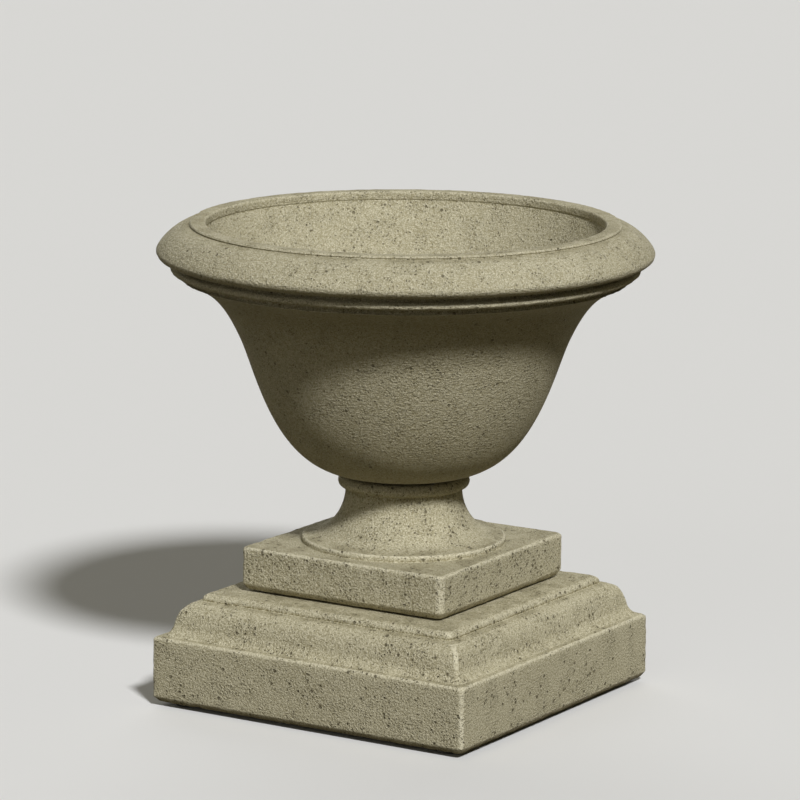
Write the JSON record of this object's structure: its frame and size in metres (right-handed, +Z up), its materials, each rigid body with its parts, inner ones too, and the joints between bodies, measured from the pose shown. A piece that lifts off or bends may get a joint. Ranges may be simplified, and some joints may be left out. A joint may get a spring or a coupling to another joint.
{
  "type": "stone urn",
  "caption": "Garden urn of cast stone: a wide bell-shaped bowl with a rolled rim on a flared round foot with a square slab, standing on a low moulded square plinth.",
  "frame": {"origin": "on the ground, under the middle of the square plinth", "axes": "+Z up along the urn's own axis; -Y is the plinth side on the left of the picture and +X the one on the right"},
  "size_m": [0.549, 0.549, 0.5355],
  "materials": {
    "plinth_stone": "rough, pitted cast stone with lighter worn edges",
    "foot_stone": "rough, pitted cast stone",
    "bowl_stone": "rough cast stone with fine pits and level streaks",
    "bedding": "dark lime mortar",
    "sleeve": "grey pipe plastic",
    "pad_rubber": "black rubber",
    "shim": "dark packing plastic"
  },
  "bodies": {
    "base": {"plinth": "plinth_stone", "levelling_pad_front_left": "pad_rubber", "levelling_pad_front_right": "pad_rubber", "levelling_pad_back_right": "pad_rubber", "levelling_pad_back_left": "pad_rubber", "setting_shim_front_left": "shim", "setting_shim_front_right": "shim", "setting_shim_back_right": "shim", "setting_shim_back_left": "shim"},
    "stand": {"foot": "foot_stone", "drain_sleeve": "sleeve", "bedding_ring": "bedding"},
    "vessel": {"bowl": "bowl_stone"}
  },
  "joints": [
    {"name": "foot_lift", "type": "slide", "parent": "base", "child": "stand", "axis": [0, 0, 1], "range_m": [0, 0.06]},
    {"name": "bowl_lift", "type": "slide", "parent": "stand", "child": "vessel", "axis": [0, 0, 1], "range_m": [0, 0.08]}
  ]
}
